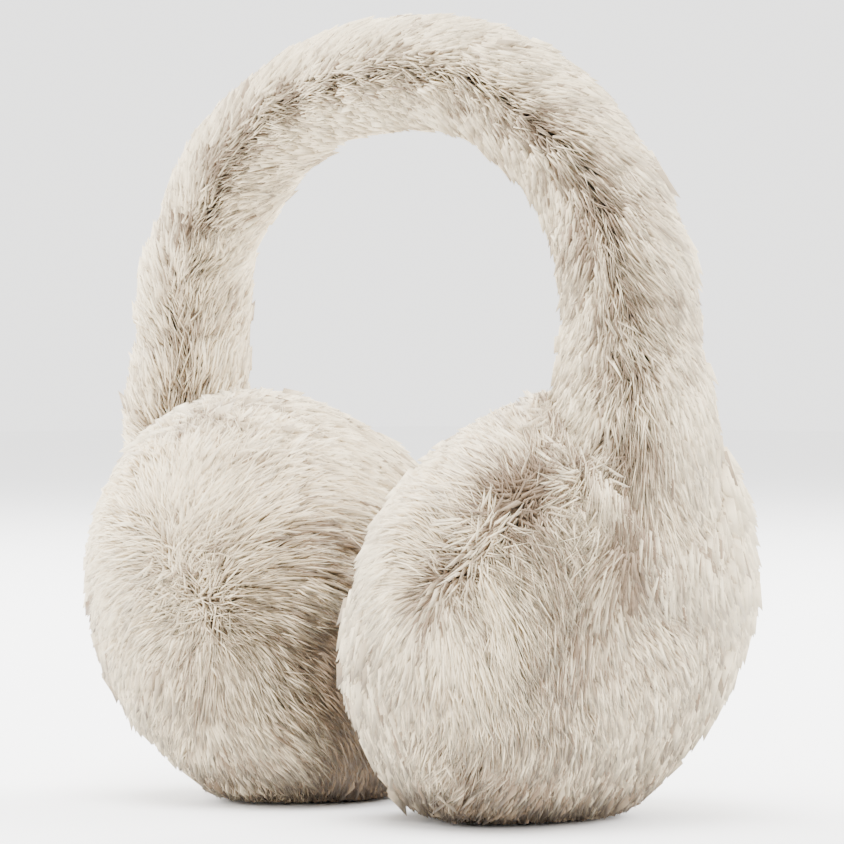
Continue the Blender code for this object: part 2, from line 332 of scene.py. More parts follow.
def closed_shell(name, rings):
    """A shell from (rows, columns, 3) rings, closed by a pole at the middle of each end ring.

    The poles' fans are given as triangles, so the quads are cut into triangles too.
    """
    rows, columns = rings.shape[:2]
    quads = grid_faces(rows, columns)
    faces = np.concatenate([quads[:, [0, 1, 2]], quads[:, [0, 2, 3]]])
    points = np.concatenate([rings.reshape(-1, 3), rings[:1].mean(axis=1), rings[-1:].mean(axis=1)])
    first, last = len(points) - 2, len(points) - 1
    start = np.arange(columns)
    beside = (start + 1) % columns
    end = (rows - 1) * columns
    low_fan = np.stack([np.full(columns, first), beside, start], -1)
    high_fan = np.stack([np.full(columns, last), end + start, end + beside], -1)
    return mesh_piece(name, points, np.concatenate([faces, low_fan, high_fan]))


def cup_world(points, cup):
    """From the cup's own axes to the frame: turned by its lean and moved to its centre."""
    return points @ cup["turn"] + cup["centre"]


def cup_hide(name, cup):
    """Directions by polar angle and turn, sent out to the skin under the fur, uneven by waves."""
    polar = np.linspace(POLE_ANGLE, math.pi - POLE_ANGLE, CUP_GRID[0])[:, None]
    turn = -np.linspace(0.0, math.tau, CUP_GRID[1], endpoint=False)[None, :]
    ways = np.stack([
        np.sin(polar) * np.cos(turn), np.sin(polar) * np.sin(turn), np.cos(polar) + 0 * turn,
    ], -1)
    skin, normal = cup_skin(ways, CUP_FUR)
    points = cup_world(skin + normal * CUP_UNEVEN * waves(skin, CUP_UNEVEN_SIZE, 5)[..., None], cup)
    points[..., 2] = np.maximum(points[..., 2], FLOOR_CLEAR)
    return closed_shell(name, points)


def band_hide(name):
    """The tube under the fur from foot to foot, whose last rings shrink to round caps.

    A ring's size is sqrt(1 - (1 - t)^2), where t grows from the end to 1 over the cap's length.
    """
    share = np.linspace(BAND_HIDE_END, 1 - BAND_HIDE_END, BAND_GRID[0])[:, None]
    turn = -np.linspace(0.0, math.tau, BAND_GRID[1], endpoint=False)[None, :]
    skin, normal = band_skin(share + 0 * turn, turn + 0 * share, BAND_FUR)
    middle = skin.mean(axis=1, keepdims=True)
    end = np.minimum(share, 1 - share)[..., None] - BAND_HIDE_END
    cap = np.sqrt(1 - (1 - np.clip(end / BAND_CAP, SMALLEST_CAP, 1.0)) ** 2)
    points = middle + (skin - middle) * cap
    return closed_shell(name, points + normal * BAND_UNEVEN * waves(skin, BAND_UNEVEN_SIZE, 6)[..., None])


hides = {name: cup_hide(name + "_hide", cup) for name, cup in CUPS.items()}
hides["headband"] = band_hide("headband_hide")
for name, hide in hides.items():
    print(hide.name, len(hide.data.polygons), "faces")

# %% [markdown]
# ## One strand
# A strand is a leaf: a point at the root, two corners where it is widest and bends over, and
# a point at the tip. Those four points are the corners of a tetrahedron, so the strand is a
# closed solid of only 4 triangles, and hundreds of thousands of them stay light. The two
# upper faces show; the two lower ones close it along the straight line from root to tip.

# %% Strands from paths
# corners of a leaf: 0 is the root, 1 and 2 are the two sides of the bend, 3 is the tip
LEAF = np.array([(0, 1, 2), (1, 3, 2), (0, 3, 1), (0, 2, 3)])
# where the four corners lie on the UV map, beside the strand's tone and from root to tip
LEAF_ACROSS = np.array([0.0, -0.012, 0.012, 0.0])
LEAF_UP = np.array([0.02, 0.45, 0.45, 0.98])
TONE_RANGE = (0.03, 0.97)
# six times the volume of a leaf that is pressed to nothing, in cubic metres
THINNEST = 1e-14


def strands(name, paths, normals, half_widths, tone):
    """Leaves along (strand, 3 points, 3) paths: root, bend and tip.

    The corners lie at bend + side w and bend - side w, where w is the half width, and side
    is square to the path and to the skin's normal. A leaf that comes out inside out has its
    corners swapped, and one pressed to nothing is left out. The UV map holds the strand's
    tone across and the share from root to tip upwards.
    """
    root, tip = paths[:, 0], paths[:, 2]
    side = unit(np.cross(unit(tip - root), normals[:, 1])) * half_widths[:, None]
    right, left = paths[:, 1] + side, paths[:, 1] - side
    volume = (np.cross(right - root, left - root) * (tip - root)).sum(-1)
    turned = (volume > 0)[:, None]
    corners = np.stack([root, np.where(turned, left, right), np.where(turned, right, left), tip], axis=1)
    kept = np.abs(volume) > THINNEST
    corners, tone = corners[kept], tone[kept]
    faces = LEAF[None] + (np.arange(len(corners)) * 4)[:, None, None]
    u = np.clip(tone, *TONE_RANGE)[:, None] + LEAF_ACROSS
    uv = np.stack([u, np.broadcast_to(LEAF_UP, u.shape)], -1)
    return mesh_piece(name, corners.reshape(-1, 3), faces.reshape(-1, 3), uv.reshape(-1, 2))


# %% [markdown]
# ## Where strands grow
# Roots are scattered evenly over the hide. A low-discrepancy sequence fills the square of
# the two parameters without gaps or heaps, and each candidate is kept with a probability
# that grows with the patch of skin it stands for, so that no part of a cup is thin. Along a
# parting the hair falls away to both sides, so there it is planted closer.

# %% Scattered roots
# the plastic number to the powers -1 and -2, whose multiples fill a square evenly
PLASTIC_POWERS = np.array([0.7548776662, 0.5698402910])
TRIES = 4
EDGE = 0.001
SMALL_STEP = 1e-4


def scattered(skin, count, seed, closeness=None):
    """About count (a, b) pairs of 0 to 1, spread over the area of the skin.

    Candidate i is i times the two powers of the plastic number, less whole turns. A patch's
    area is the cross product of two small steps, and closeness, where given, multiplies it.
    """
    source = np.random.default_rng(seed)
    index = np.arange(1, TRIES * count)[:, None]
    pairs = (index * PLASTIC_POWERS + source.random(2)) % 1.0
    pairs = np.clip(pairs, EDGE, 1 - EDGE)
    here = skin(pairs[:, 0], pairs[:, 1])[0]
    by_a = skin(pairs[:, 0] + SMALL_STEP, pairs[:, 1])[0] - here
    by_b = skin(pairs[:, 0], pairs[:, 1] + SMALL_STEP)[0] - here
    area = np.linalg.norm(np.cross(by_a, by_b), axis=-1)
    if closeness is not None:
        area = area * closeness(here)
    keep = source.random(len(area)) < area / area.sum() * count
    return pairs[keep]


# %% [markdown]
# ## Where two coats meet
# Each leg of the headband ends inside a cup, and the fur of the two runs into one there. So
# each coat asks how far its strands are from the tips of the other. Strands that start deep
# in the other coat are left out, and the rest grow taller near the corner and round it off,
# as fur does that is brushed over a seam.

# %% Gaps to a coat
AT_A_TIME = 4000
GAP_STEPS = 240


def nearest(points, leaders):
    """For each point, the number of its nearest leader, by |l|^2 - 2 p.l, some thousands at a time."""
    lengths = (leaders**2).sum(-1)
    parts = np.array_split(points, max(len(points) // AT_A_TIME, 1))
    return np.concatenate([(lengths - 2.0 * part @ leaders.T).argmin(axis=1) for part in parts])


def cup_gap(points, cup):
    """Metres from points to the tips of a cup's fur, less than 0 inside.

    It is the distance from the cup's centre less the skin's own reach in that direction.
    """
    own = (points - cup["centre"]) @ cup["turn"].T
    return np.linalg.norm(own, axis=-1) - np.linalg.norm(cup_skin(unit(own), 0.0)[0], axis=-1)


def band_gap(points):
    """Metres from points to the tips of the headband's fur, less than 0 inside.

    The nearest point of the band's middle line gives the share of the way out of the tube,
    and that share less one, times the tube's radius, is the gap.
    """
    near = np.linspace(0.0, 1.0, GAP_STEPS)
    centre = np.stack([np.interp(near, LINE_SHARE, LINE[:, i]) for i in (0, 1)], -1)
    best = nearest(points[:, [0, 2]], centre)
    full = eased_table(BAND_FULLNESS, near)[best]
    across = np.linalg.norm(points[:, [0, 2]] - centre[best], axis=-1) / (full * BAND_HALF[0])
    front = points[:, 1] / (full * BAND_HALF[1])
    return (np.hypot(across, front) - 1.0) * full * sum(BAND_HALF) / 2


def merging(gap, fillet):
    """How much taller fur is where two coats meet: (sqrt(gap^2 + (fillet / 2)^2) - gap) / 2.

    The gap is measured to the other coat's tips. Inside the other coat the fur comes out
    through it, in the corner it rounds the corner off, and far away nothing changes.
    """
    return (np.sqrt(gap**2 + (fillet / 2) ** 2) - gap) / 2


# %% [markdown]
# ## Laying and combing
# From its root a strand rises out of the hide, bends over and runs along the coat in the
# direction it is combed. On a cup the fur parts along a line, and runs away from it on both
# sides until its own weight turns it down. Its path is a straight run in the tangent plane,
# sent back to the skin so that it follows the curve, and lifted by its height there. On the
# band the nap runs one way, from the left foot over the top to the right foot, and fans out
# on both sides of a parting.
#
# Handling leaves marks in a coat: a parting laid open to its brown roots, a patch where the
# hair stands on end, a lock that lies over the rest. A mark is a short line on the cup and
# a reach, with what it does there to the tone, the height and the lie of the hair. The darker
# tone of the partings, the seams at the leg, the shaded fall and side, the low sides and the
# crevice between the cups is painted shade, and the lighter tone of the lifted lock is a
# painted highlight.

# %% Partings and marks on the cups
# Directions from each cup's centre, in its own axes, along the line where its fur parts.
CUPS["right_ear_cup"]["parting"] = (
    (0.65, -0.33, 0.68), (0.50, -0.29, 0.82), (0.41, -0.31, 0.86), (0.32, -0.37, 0.87), (0.21, -0.54, 0.82),
    (0.19, -0.64, 0.74), (0.18, -0.74, 0.65), (0.21, -0.86, 0.46), (0.16, -0.92, 0.35), (0.13, -0.97, 0.21),
)
CUPS["left_ear_cup"]["parting"] = (
    (0.24, -0.91, 0.33), (0.33, -0.94, -0.02), (0.35, -0.92, -0.19), (0.34, -0.88, -0.34),
)
# How far from its line a parting is still closed by hair that crosses it, in metres.
CUPS["right_ear_cup"]["crossing"] = 0.0032
CUPS["left_ear_cup"]["crossing"] = 0.0120
# How deep in the headband's fur a cup's own fur begins. The band's nap runs down over the
# right cup, so there the cup's begins outside it.
CUPS["right_ear_cup"]["covered"] = -0.0005
CUPS["left_ear_cup"]["covered"] = 0.0035
CUPS["right_ear_cup"]["marks"] = (
    # what it is, and its line of directions,
    # then its reach in metres, and what it adds to the tone, the height and the standing
    # the partings' darker tone is painted shade in their open valleys
    ("open parting", ((0.21, -0.54, 0.82), (0.19, -0.64, 0.74), (0.18, -0.74, 0.65)),
     0.0028, -0.70, -0.08, 0.0),
    ("closing parting", ((0.21, -0.86, 0.46), (0.16, -0.92, 0.35), (0.13, -0.97, 0.21)),
     0.0024, -0.45, 0.0, 0.0),
    ("standing patch", ((0.43, -0.29, 0.86), (0.55, -0.31, 0.78), (0.65, -0.33, 0.68)),
     0.0056, -0.60, -0.08, 0.4),
    # painted shade where the headband's leg goes into the cup
    ("seam at the leg", ((0.12, -0.39, 0.91), (0.17, -0.31, 0.94), (0.26, -0.20, 0.94)),
     0.0042, -0.70, -0.10, 0.2),
    ("shaded fall", ((0.37, -0.73, 0.58), (0.55, -0.66, 0.50), (0.66, -0.68, 0.30)),
     0.0130, -0.34, 0.0, 0.0),
    # painted shade over the lower side
    ("warm low side", ((0.60, -0.62, -0.50), (0.80, -0.40, -0.44)),
     0.0300, -0.30, 0.0, 0.0),
    # a lifted lock whose lighter tone is a painted highlight
    ("light lock", ((0.23, -0.86, 0.45), (0.31, -0.88, 0.36), (0.43, -0.87, 0.24)),
     0.0030, 0.55, 0.12, 0.0),
    ("light tuft", ((0.29, -0.35, 0.89), (0.33, -0.26, 0.91)),
     0.0030, 0.25, 0.10, 0.0),
    ("full shoulder", ((0.20, 0.28, 0.94), (0.30, 0.52, 0.82), (0.45, 0.48, 0.74)),
     0.0200, 0.06, 0.30, 0.0),
)
CUPS["left_ear_cup"]["marks"] = (
    ("soft parting", ((0.24, -0.91, 0.33), (0.33, -0.94, -0.02), (0.34, -0.88, -0.34)),
     0.0080, -0.06, 0.0, 0.0),
    ("dark tuft", ((0.60, -0.79, 0.09), (0.70, -0.70, 0.11)),
     0.0022, -0.30, -0.12, 0.0),
    ("ruffled patch", ((0.41, -0.91, 0.08), (0.54, -0.84, -0.02)),
     0.0060, -0.16, 0.0, 0.4),
    ("shaded side", ((0.89, -0.44, -0.09), (0.75, -0.41, -0.52)),
     0.0200, -0.34, 0.0, 0.0),
    # painted shade deep between the cups
    ("deep between the cups", ((0.64, -0.52, -0.57), (0.41, -0.32, -0.85), (0.16, 0.07, -0.99)),
     0.0090, -0.75, 0.0, 0.0),
    # painted shade over the lower side
    ("warm low side", ((0.45, -0.68, -0.58), (0.20, -0.75, -0.63)),
     0.0240, -0.20, 0.0, 0.0),
    # painted shade where the headband's leg goes into the cup
    ("seam at the leg", ((0.21, -0.63, 0.75), (0.37, -0.56, 0.74)),
     0.0040, -0.20, -0.10, 0.0),
)


PARTING_POINTS = 40
MARK_POINTS = 16


def skin_line(corners, count):
    """Points on the hide along a line of directions, evenly spread between its corners."""
    corners = np.array(corners)
    place = np.linspace(0, len(corners) - 1, count)
    ways = np.stack([np.interp(place, np.arange(len(corners)), corners[:, i]) for i in range(3)], -1)
    return cup_skin(unit(ways), CUP_FUR)[0]


for name, cup in CUPS.items():
    cup["line"] = skin_line(cup["parting"], PARTING_POINTS)
    length = np.linalg.norm(np.diff(cup["line"], axis=0), axis=1).sum()
    print(name, "parting", round(length * 1000), "mm,", len(cup["marks"]), "marks")


def marked(points, cup):
    """Changes of tone, height and standing: each mark's own, times exp(-(distance / reach)^2)."""
    changes = np.zeros((len(points), 3))
    for _, corners, reach, *change in cup["marks"]:
        gap = np.linalg.norm(points[:, None] - skin_line(corners, MARK_POINTS)[None], axis=-1).min(axis=1)
        changes += np.exp(-((gap / reach) ** 2))[:, None] * np.array(change)
    return changes.T


# %% Paths over a cup
def cup_surface(inset):
    """The cup's skin as a function of two shares: of the way from pole to pole, and round."""
    def skin(a, b):
        height = 1.0 - 2.0 * a
        flat = np.sqrt(np.maximum(1.0 - height**2, 0.0))
        ways = np.stack([flat * np.cos(math.tau * b), flat * np.sin(math.tau * b), height], -1)
        return cup_skin(unit(ways), inset)
    return skin


# shares of a strand's length at its root, its bend and its tip
BEND = (0.0, 0.42, 1.0)
# the strength of the fall to the ground, and how far from a parting its push is about as strong
DROOP = 1.0
PUSH_REACH = 0.055
# how close to the headband's leg the push has gone
LEG_REACH = 0.006
# hair lies flat where the sum of the pulls on it, times the gain, is more than their size
LEAST_PULL = 0.4
LYING_GAIN = 1.5
# radians by which hair strays from its comb: in waves, by chance, and by chance where it stands
CUP_COMB_WAVES = ((0.20, 0.045), (0.14, 0.012))
LOOSE = 0.17
MATTED = 2.4
# how far the fur of cup and headband rounds off the corner between them, on each
FILLET = 0.010
BAND_FILLET = 0.012
DOWN = np.array([0.0, 0.0, -1.0])


def cup_comb(points, normals, cup, seed):
    """Unit directions along the skin in which the strands are combed, and how flat they lie, 0 to 1.

    The push away from the parting is the mean over its points of offset / distance^3, as
    of like charges, with the crossing reach added to the distance so that it fades at the
    line itself. A steady droop towards the ground is added, which wins further away and
    close to the headband's leg. Where the sum is small beside its parts the hair is pulled
    nowhere: it stands, and leans by chance, which mats the parting. Elsewhere waves and
    chance turn it only a little.
    """
    source = np.random.default_rng(seed)
    away = points[:, None] - cup["line"][None]
    gap = np.sqrt((away**2).sum(-1) + cup["crossing"] ** 2)
    free = 1.0 - np.exp(-((np.maximum(band_gap(cup_world(points, cup)), 0.0) / LEG_REACH) ** 2))
    push = (away / gap[..., None] ** 3).mean(axis=1) * PUSH_REACH**2 * free[:, None]
    most = LEAST_PULL * DROOP + (1.0 / gap**2).mean(axis=1) * PUSH_REACH**2 * free
    pull = push + DROOP * (DOWN @ cup["turn"].T)
    flat = pull - (pull * normals).sum(-1, keepdims=True) * normals
    lying = np.clip(LYING_GAIN * np.linalg.norm(flat, axis=-1) / most, 0.0, 1.0)
    along = unit(flat)
    aside = np.cross(normals, along)
    angle = layered_waves(points, CUP_COMB_WAVES, seed)
    angle = angle + source.normal(0.0, 1.0, len(points)) * (LOOSE + MATTED * (1.0 - lying) ** 2)
    return along * np.cos(angle)[:, None] + aside * np.sin(angle)[:, None], lying


def cup_paths(roots, comb, length, height, rise, cup):
    """(strand, point, 3) points and normals: skin(root + comb length t) + normal tall(t).

    tall is height times rise(t), and past the root what merging with the headband's fur adds.
    """
    run = roots[:, None] + comb[:, None] * (length[:, None] * np.array(BEND))[..., None]
    skin, normals = cup_skin(unit(run), CUP_FUR)
    top = cup_world(skin + normals * CUP_FUR, cup)
    added = merging(band_gap(top.reshape(-1, 3)).reshape(top.shape[:2]), FILLET)
    tall = height[:, None] * np.array(rise) + added * (0.0, 1.0, 1.0)
    return skin + normals * tall[..., None], normals


# %% Paths over the band
# share of the band's length, degrees round the tube
BAND_PARTING = (
    (0.00, 165.0), (0.12, 135.0), (0.25, 112.0), (0.42, 97.0),
    (0.62, 86.0), (0.74, 68.0), (0.87, 54.0), (1.00, 62.0),
)
# share of the band's length, how open the parting is there and how dark its painted shade
BAND_SHADE = (
    (0.00, 1.0), (0.12, 1.1), (0.20, 0.8), (0.27, 1.2), (0.34, 0.9), (0.42, 1.25), (0.52, 0.6), (0.60, 0.8),
    (0.68, 1.1), (0.75, 1.0), (0.80, 0.7), (0.86, 1.2), (0.90, 1.4), (0.92, 0.3), (0.945, 1.3), (1.00, 1.1),
)


# how far the nap fans out on the outer and inner side of the parting
FAN_OUTER = math.radians(42)
FAN_INNER = math.radians(24)
# radians round from the parting over which the fan opens, and closes again at the back
FAN_OPENS = (0.02, 0.45)
FAN_CLOSES = (1.9, 3.1)
BAND_COMB_WAVES = ((0.20, 0.035), (0.18, 0.010))
LOOSE_AT_PARTING = 0.20


def band_comb(share, angle, points, seed):
    """The comb direction as metres along and metres round for each metre of strand.

    It is the cosine and sine of a fan angle, which opens away from the parting, to one side
    or the other, and closes at the back. The third result is the angle from the parting.
    """
    off = (angle - np.radians(eased_table(BAND_PARTING, share)) + math.pi) % math.tau - math.pi
    open_by = eased(np.abs(off), *FAN_OPENS) * (1 - eased(np.abs(off), *FAN_CLOSES))
    fan = np.where(off < 0, -FAN_OUTER, FAN_INNER) * open_by
    fan = fan + layered_waves(points, BAND_COMB_WAVES, seed)
    chance = np.random.default_rng(seed).normal(0.0, 1.0, len(points))
    fan = fan + chance * (LOOSE + LOOSE_AT_PARTING * (1 - open_by))
    return np.cos(fan), np.sin(fan), off


def band_paths(share, angle, along, round_by, length, height, rise):
    """(strand, point, 3) points and normals over the band, from root to tip.

    After a run t they lie at share + along t / band length and angle + round t / radius.
    Each is as tall as height times rise(t), and past the root what merging with a cup adds.
    """
    run = length[:, None] * np.array(BEND)
    radius = eased_table(BAND_FULLNESS, share) * sum(BAND_HALF) / 2 - BAND_FUR / 2
    place = np.clip(share[:, None] + along[:, None] * run / BAND_LENGTH, 0.0, 1.0)
    turn = angle[:, None] + round_by[:, None] * run / radius[:, None]
    skin, normals = band_skin(place, turn, BAND_FUR)
    gap = np.minimum(*[cup_gap(skin + normals * BAND_FUR, cup) for cup in CUPS.values()])
    tall = height[:, None] * np.array(rise) + merging(gap, BAND_FILLET) * (0.0, 1.0, 1.0)
    return skin + normals * tall[..., None], normals


# %% [markdown]
# ## Locks
# Fur draws together. The tips of neighbouring strands lean to one another and make pointed
# locks, small ones inside bigger ones. Each strand finds the nearest of a scatter of leaders,
# and the further along the strand, the more it takes after its leader.

# %% Drawing strands together
PULL_SPREAD = (0.3, 1.3)
PULL_POWER = 1.6
MOST_DRAWN = 0.92


def drawn_together(paths, seed, every, pull):
    """Paths bent towards leaders, one for each `every` strands: own (1 - w) + leader w.

    A strand's leader is the one whose tip is nearest to its own, so none is drawn across a
    parting. w is the pull, one for all or one for each strand, more or less by lock, times
    the share of the way to the tip to a power, so the roots stay where they are.
    """
    source = np.random.default_rng(seed)
    count, points = paths.shape[:2]
    leaders = source.choice(count, max(count // every, 1), replace=False)
    mine = leaders[nearest(paths[:, -1], paths[leaders, -1])]
    share = np.linspace(0.0, 1.0, points)[None, :, None]
    strength = (pull * source.uniform(*PULL_SPREAD, count)[mine])[:, None, None]
    weight = np.clip(strength * share**PULL_POWER, 0.0, MOST_DRAWN)
    return paths * (1 - weight) + paths[mine] * weight, mine


# %% [markdown]
# ## The coat
# Two lengths make the pile: short dense underfur that fills, and long guard hairs that lie
# over it and catch the light. Both are grown the same way, with their own numbers.

# %% The two kinds of hair
# length and height are shares of the full ones below, rise is the share of its height that a
# strand has at its root, bend and tip, and half_width is in metres; tone is added to each
# strand's tone, and the underfur's darker one is painted shade for its depth below the guard hairs
HAIRS = {
    "guard_hair": {
        "count": 49500, "length": 1.00, "height": 1.00, "half_width": 0.000098,
        "rise": (0.0, 0.90, 0.97), "tone": 0.08, "seed": 1,
    },
    "underfur": {
        "count": 28000, "length": 0.74, "height": 0.80, "half_width": 0.000145,
        "rise": (0.0, 0.80, 0.88), "tone": -0.12, "seed": 31,
    },
}
CUP_HAIR_LENGTH = 0.0135
BAND_HAIR_LENGTH = 0.0112
LENGTH_SPREAD = (0.75, 1.15)
HEIGHT_SPREAD = (0.82, 1.04)
HEIGHT_WAVES = ((0.08, 0.030), (0.05, 0.010))
STRAY_SHARE = 0.02
STRAY_HEIGHT = 1.2
MOST_STRANDS = 49900


def hair_sizes(hair, points, longest, fur, seed):
    """Length and height of each strand: the kind's own, times waves and a spread of chance."""
    source = np.random.default_rng(seed)
    count = len(points)
    tuft = 1.0 + layered_waves(points, HEIGHT_WAVES, seed + 2)
    length = longest * hair["length"] * source.uniform(*LENGTH_SPREAD, count)
    height = fur * hair["height"] * tuft * source.uniform(*HEIGHT_SPREAD, count)
    stray = source.random(count) < STRAY_SHARE
    return length, np.where(stray, height * STRAY_HEIGHT, height)


# %% Tone of the strands
TONE_MIDDLE = 0.68
TONE_BY_GROUP = 0.05
TONE_BY_STRAND = 0.20
TONE_WAVES = ((0.09, 0.045), (0.05, 0.018))
# painted shade at the ground, easing out with height
GROUND_PAINTED_SHADE = 0.40
GROUND_SHADE_EASE = (0.001, 0.014)
# painted shade between the cups, easing out with the distance to the other cup's fur and with height
CREVICE_PAINTED_SHADE = 0.65
CREVICE_SHADE_REACH = 0.019
CREVICE_SHADE_EASE = (0.030, 0.085)


def tone_of(roots, tuft, lock, seed):
    """0 for a dark strand to 1 for a light one: by tuft, by lock, by broad waves and by strand."""
    source = np.random.default_rng(seed + 7)
    by_tuft = source.normal(0.0, TONE_BY_GROUP, len(roots))[tuft]
    by_lock = source.normal(0.0, TONE_BY_GROUP, len(roots))[lock]
    broad = layered_waves(roots, TONE_WAVES, seed + 8)
    return TONE_MIDDLE + by_tuft + by_lock + broad + source.normal(0, TONE_BY_STRAND, len(roots))


def painted_ground_and_crevice_shade(points, other):
    """How much darker a cup's fur is at the ground and deep between it and the other cup.

    Both darkenings are painted shade, for places where little light reaches.
    """
    low = GROUND_PAINTED_SHADE * (1.0 - eased(points[:, 2], *GROUND_SHADE_EASE))
    beside = 1.0 - eased(cup_gap(points, other), 0.0, CREVICE_SHADE_REACH)
    beside = beside * (1.0 - eased(points[:, 2], *CREVICE_SHADE_EASE))
    return low + CREVICE_PAINTED_SHADE * beside


# %% Gathered strands
# strands to a tuft and to a lock, and how strongly each draws its strands together
TUFT_OF = 12
LOCK_OF = 200
CUP_PULLS = (0.05, 0.09)
BAND_PULLS = (0.05, 0.10)
# how far a tip is moved by chance, and the spread of widths
TIP_CHANCE = 0.00040
WIDTH_SPREAD = (0.75, 1.25)


def gathered(roots, paths, hair, pulls, seed):
    """Paths drawn into tufts and then into locks, with each strand's tone and half width.

    A tuft is about a dozen strands and a lock some hundreds. Each tip also moves by chance.
    """
    paths, tuft = drawn_together(paths, seed + 4, TUFT_OF, pulls[0])
    paths, lock = drawn_together(paths, seed + 5, LOCK_OF, pulls[1])
    source = np.random.default_rng(seed + 6)
    paths[:, -1] += source.normal(0.0, TIP_CHANCE, (len(paths), 3))
    half_widths = hair["half_width"] * source.uniform(*WIDTH_SPREAD, len(paths))
    return paths, tone_of(roots, tuft, lock, seed) + hair["tone"], half_widths


# %% [markdown]
# ## The coats of the cups
# On the parting of a cup the hair falls away to both sides and would show the hide, so it is
# planted closer there, and hair that stands is shorter and keeps out of tufts and locks. The
# fur under a cup is pressed flat by its weight, and what would reach into the table lies in a
# thin bed just above it.

# %% Coat of a cup
PLANTED_CLOSER = 2.2
PLANTING_REACH = 0.006
# the length of hair that stands, as a share of its length where it lies
STANDING_LENGTH = 0.45
# how thick the pressed fur under a cup is
BED = 0.0010


def closer_at_parting(points, cup):
    """1 all over the cup and PLANTED_CLOSER more on its parting, by exp(-(distance / reach)^2)."""
    gap = np.sqrt(((points - cup["line"][nearest(points, cup["line"])]) ** 2).sum(-1))
    return 1.0 + PLANTED_CLOSER * np.exp(-((gap / PLANTING_REACH) ** 2))


def on_the_ground(paths, seed):
    """The paths with no point below the bed, whose height is a little different for each."""
    source = np.random.default_rng(seed)
    bed = FLOOR_CLEAR + BED * source.random(paths.shape[:2])
    paths[..., 2] = np.maximum(paths[..., 2], bed)
    return paths


def cup_coat(name, other, kind, seed):
    """One kind of hair all over a cup, where it isn't deep in the headband's fur."""
    cup, hair = CUPS[name], HAIRS[kind]
    seed = seed + hair["seed"]
    surface = cup_surface(CUP_FUR)
    pairs = scattered(surface, hair["count"], seed, lambda points: closer_at_parting(points, cup))
    roots, normals = surface(pairs[:, 0], pairs[:, 1])
    tips = cup_world(roots + normals * CUP_FUR, cup)
    showing = np.flatnonzero(band_gap(tips) > -cup["covered"])[:MOST_STRANDS]
    roots, normals = roots[showing], normals[showing]
    comb, lying = cup_comb(roots, normals, cup, seed)
    tint, taller, standing = marked(roots, cup)
    lying = lying * (1.0 - np.clip(standing, 0.0, 1.0))
    length, height = hair_sizes(hair, roots, CUP_HAIR_LENGTH, CUP_FUR, seed)
    length = length * (STANDING_LENGTH + (1 - STANDING_LENGTH) * lying)
    height = height * (1.0 + taller)
    paths, normals = cup_paths(roots, comb, length, height, hair["rise"], cup)
    pulls = [pull * lying for pull in CUP_PULLS]
    paths, tone, half_widths = gathered(roots, paths, hair, pulls, seed)
    world = cup_world(paths, cup)
    # the marks' tone, partly painted shade and painted highlight, less the painted shade at the ground and
    # between the cups
    tone = tone + tint - painted_ground_and_crevice_shade(world[:, -1], CUPS[other])
    world = on_the_ground(world, seed)
    return strands(f"{name}_{kind}", world, normals @ cup["turn"], half_widths, tone)


# %% [markdown]
# ## The coat of the headband
# Along the band's parting the pile lies open in a broken line of dark patches, where it is
# lower and painted shade darkens its tone for its depth. The last bit of each foot lies deep in its cup and
# is bare.

# %% Coat of the headband
BAND_BARE_END = 0.01
# how many strands are scattered for each of the kind's count, since the feet lose many
BAND_SPARE = 1.25
# how deep in a cup's fur the band's own fur ends
BAND_COVERED = 0.0070
# radians round the tube over which the crease fades, how much lower fur is in it, and how much darker its
# painted shade makes it
CREASE_ROUND = 0.36
CREASE_LOW = 0.14
CREASE_PAINTED_SHADE = 0.50
# how open the crease still is between its patches, and what makes the patches
LEAST_PATCH = 0.35
PATCH_SIZE = 0.013
PATCH_EASE = (-0.9, 0.9)
PATCH_SEED = 351


def band_place(a, b):
    """Share of the band's length and angle round it, from two shares of 0 to 1."""
    return BAND_BARE_END + (1 - 2 * BAND_BARE_END) * a, math.tau * b


def band_surface(a, b):
    """The hide of the band as a function of two shares: of its length, and round."""
    return band_skin(*band_place(a, b), BAND_FUR)


def creased(share, off, points):
    """How open the crease is: BAND_SHADE's value there, times exp(-(off / reach)^2), in patches."""
    patchy = eased(waves(points, PATCH_SIZE, PATCH_SEED), *PATCH_EASE)
    patchy = LEAST_PATCH + (1 - LEAST_PATCH) * patchy
    return eased_table(BAND_SHADE, share) * np.exp(-((off / CREASE_ROUND) ** 2)) * patchy


def band_coat(kind, seed):
    """One kind of hair all over the headband, where its feet are not deep in the cups."""
    hair = HAIRS[kind]
    seed = seed + hair["seed"]
    pairs = scattered(band_surface, hair["count"] * BAND_SPARE, seed)
    share, angle = band_place(pairs[:, 0], pairs[:, 1])
    tips, _ = band_skin(share, angle, 0.0)
    gap = np.minimum(*[cup_gap(tips, cup) for cup in CUPS.values()])
    showing = np.flatnonzero(gap > -BAND_COVERED)[:MOST_STRANDS]
    share, angle = share[showing], angle[showing]
    roots, _ = band_skin(share, angle, BAND_FUR)
    along, round_by, off = band_comb(share, angle, roots, seed)
    crease = creased(share, off, roots)
    length, height = hair_sizes(hair, roots, BAND_HAIR_LENGTH, BAND_FUR, seed)
    height = height * (1.0 - CREASE_LOW * np.clip(crease, 0.0, 1.0))
    paths, normals = band_paths(share, angle, along, round_by, length, height, hair["rise"])
    paths, tone, half_widths = gathered(roots, paths, hair, BAND_PULLS, seed)
    # the crease's darker tone is painted shade
    return strands(f"headband_{kind}", paths, normals, half_widths, tone - CREASE_PAINTED_SHADE * crease)


